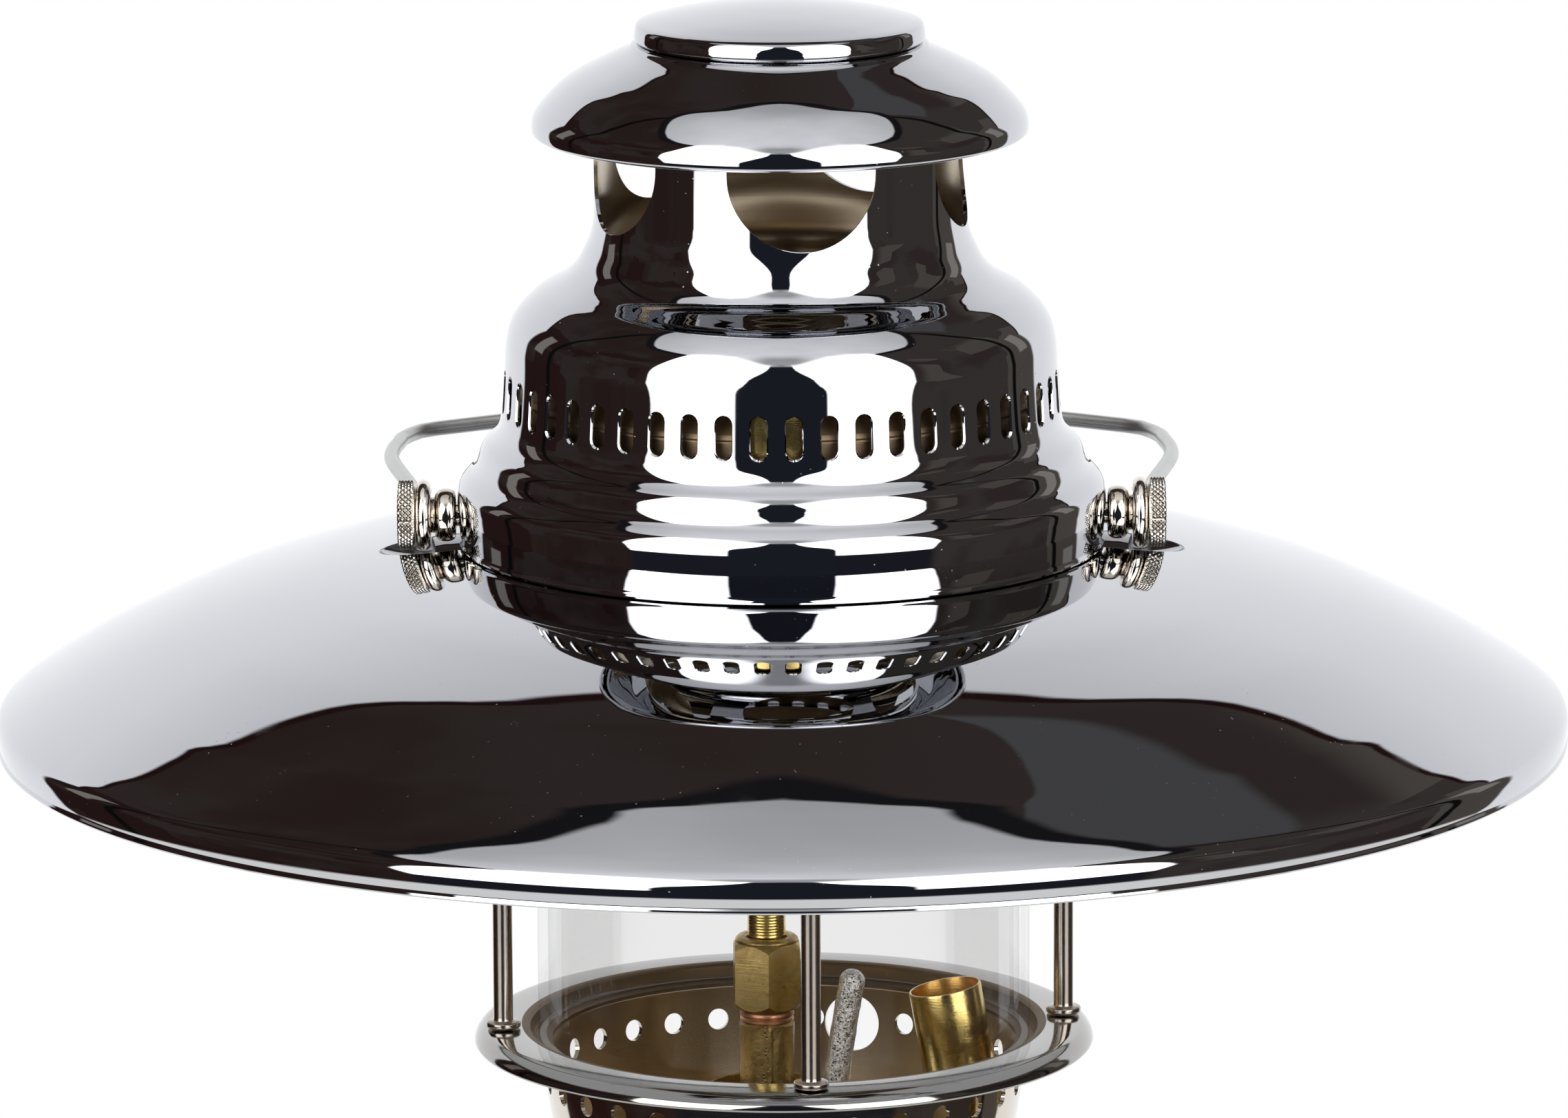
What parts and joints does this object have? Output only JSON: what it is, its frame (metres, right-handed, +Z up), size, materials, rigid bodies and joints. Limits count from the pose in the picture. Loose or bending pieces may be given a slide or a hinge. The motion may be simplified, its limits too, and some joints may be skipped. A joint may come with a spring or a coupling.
{
  "type": "pressure paraffin lantern",
  "caption": "Pressurised paraffin lantern with a wide mirror reflector, slotted hood, mushroom cap, glass cylinder, mantle burner, pump tank and folding bail.",
  "frame": {"origin": "middle of the tank's foot, on the surface that the lantern stands on", "axes": "+Z up along the lantern's axis, -Y the front with the hand wheel, +X the side with the pump"},
  "size_m": [0.327, 0.327, 0.3922],
  "materials": {
    "chrome": "bright mirror chrome plate",
    "nickel": "polished nickel plate, warmer than the chrome",
    "brass": "bare turned and cast brass, slightly dull",
    "copper": "bare copper",
    "steel": "plated steel",
    "clear_glass": "clear heat-resistant glass",
    "ceramic": "unglazed fired clay",
    "mantle_cloth": "fine open knitted mantle cloth",
    "leather": "oiled pump leather",
    "rubber": "black sealing rubber",
    "dial_enamel": "white enamelled dial"
  },
  "bodies": {
    "root": {"fuel_tank": "chrome", "tank_foot": "chrome", "burner_neck": "brass", "pump_barrel": "brass", "pump_socket": "chrome", "pump_cap": "chrome", "pump_valve": "brass", "filler_neck": "chrome", "filler_gasket": "rubber", "riser_tube": "brass", "burner_body": "brass", "spindle_gland": "brass", "vaporiser_body": "brass", "vaporiser_washer": "copper", "vaporiser_nut": "brass", "spirit_cup": "brass", "vaporiser_tube": "brass", "mixing_tube": "brass", "clay_nozzle": "ceramic", "mantle": "mantle_cloth", "preheater_body": "brass", "preheater_spout": "steel", "torch_cup": "brass", "frame_collar": "nickel", "air_basket": "nickel", "gallery_plate": "nickel", "frame_rod_front": "nickel", "frame_rod_right": "nickel", "frame_rod_rear": "nickel", "frame_rod_left": "nickel", "frame_top_ring": "nickel", "glass_cylinder": "clear_glass", "reflector": "chrome", "hood": "chrome", "mushroom_cap": "chrome", "top_disc": "chrome", "inner_casing": "nickel", "screw_bracket_left": "steel", "screw_bracket_right": "steel", "bail_bush_left": "nickel", "bail_bush_right": "nickel"},
    "bail": {"bail": "steel"},
    "screw_left": {"thumb_screw_left": "nickel"},
    "screw_right": {"thumb_screw_right": "nickel"},
    "pump": {"pump_rod": "steel", "pump_knob": "chrome", "pump_piston": "leather"},
    "wheel": {"hand_wheel": "nickel", "control_spindle": "steel"},
    "needle": {"control_rod": "steel"},
    "preheater": {"preheater_lever": "nickel"},
    "cap": {"filler_cap": "chrome", "gauge_case": "chrome", "gauge_dial": "dial_enamel", "gauge_glass": "clear_glass"},
    "pointer": {"gauge_needle": "steel"},
    "release": {"release_screw": "brass"}
  },
  "joints": [
    {"name": "bail_hinge", "type": "hinge", "parent": "root", "child": "bail", "pos_m": [0, 0, 0.2845], "axis": [1, 0, 0], "range_deg": [-4, 184]},
    {"name": "screw_left_turn", "type": "hinge", "parent": "root", "child": "screw_left", "pos_m": [-0.077, 0, 0.2845], "axis": [-1, 0, 0], "range_deg": [0, 540]},
    {"name": "screw_right_turn", "type": "hinge", "parent": "root", "child": "screw_right", "pos_m": [0.077, 0, 0.2845], "axis": [1, 0, 0], "range_deg": [0, 540]},
    {"name": "pump_stroke", "type": "slide", "parent": "root", "child": "pump", "axis": [1, 0, 0], "range_m": [0, 0.08]},
    {"name": "wheel_turn", "type": "hinge", "parent": "root", "child": "wheel", "pos_m": [-0.0036, -0.04, 0.118], "axis": [0, -1, 0], "range_deg": [0, 180]},
    {"name": "needle_lift", "type": "slide", "parent": "root", "child": "needle", "axis": [0, 0, 1], "range_m": [0, 0.004]},
    {"name": "preheater_turn", "type": "hinge", "parent": "root", "child": "preheater", "pos_m": [0.026, -0.05, 0.133], "axis": [0, 1, 0], "range_deg": [0, 95]},
    {"name": "cap_turn", "type": "hinge", "parent": "root", "child": "cap", "pos_m": [-0.04628, -0.05516, 0.08839], "axis": [-0.3214, -0.383, 0.866], "range_deg": [0, 720]},
    {"name": "pointer_turn", "type": "hinge", "parent": "cap", "child": "pointer", "pos_m": [-0.04885, -0.05822, 0.09532], "axis": [-0.3214, -0.383, 0.866], "range_deg": [-270, 0]},
    {"name": "release_turn", "type": "hinge", "parent": "cap", "child": "release", "pos_m": [-0.0296, -0.05673, 0.09504], "axis": [0.9446, -0.066, 0.3214], "range_deg": [0, 540]}
  ],
  "couplings": [
    {"joint": "needle_lift", "follows": "wheel_turn", "m_per_rad": 0.00127}
  ]
}
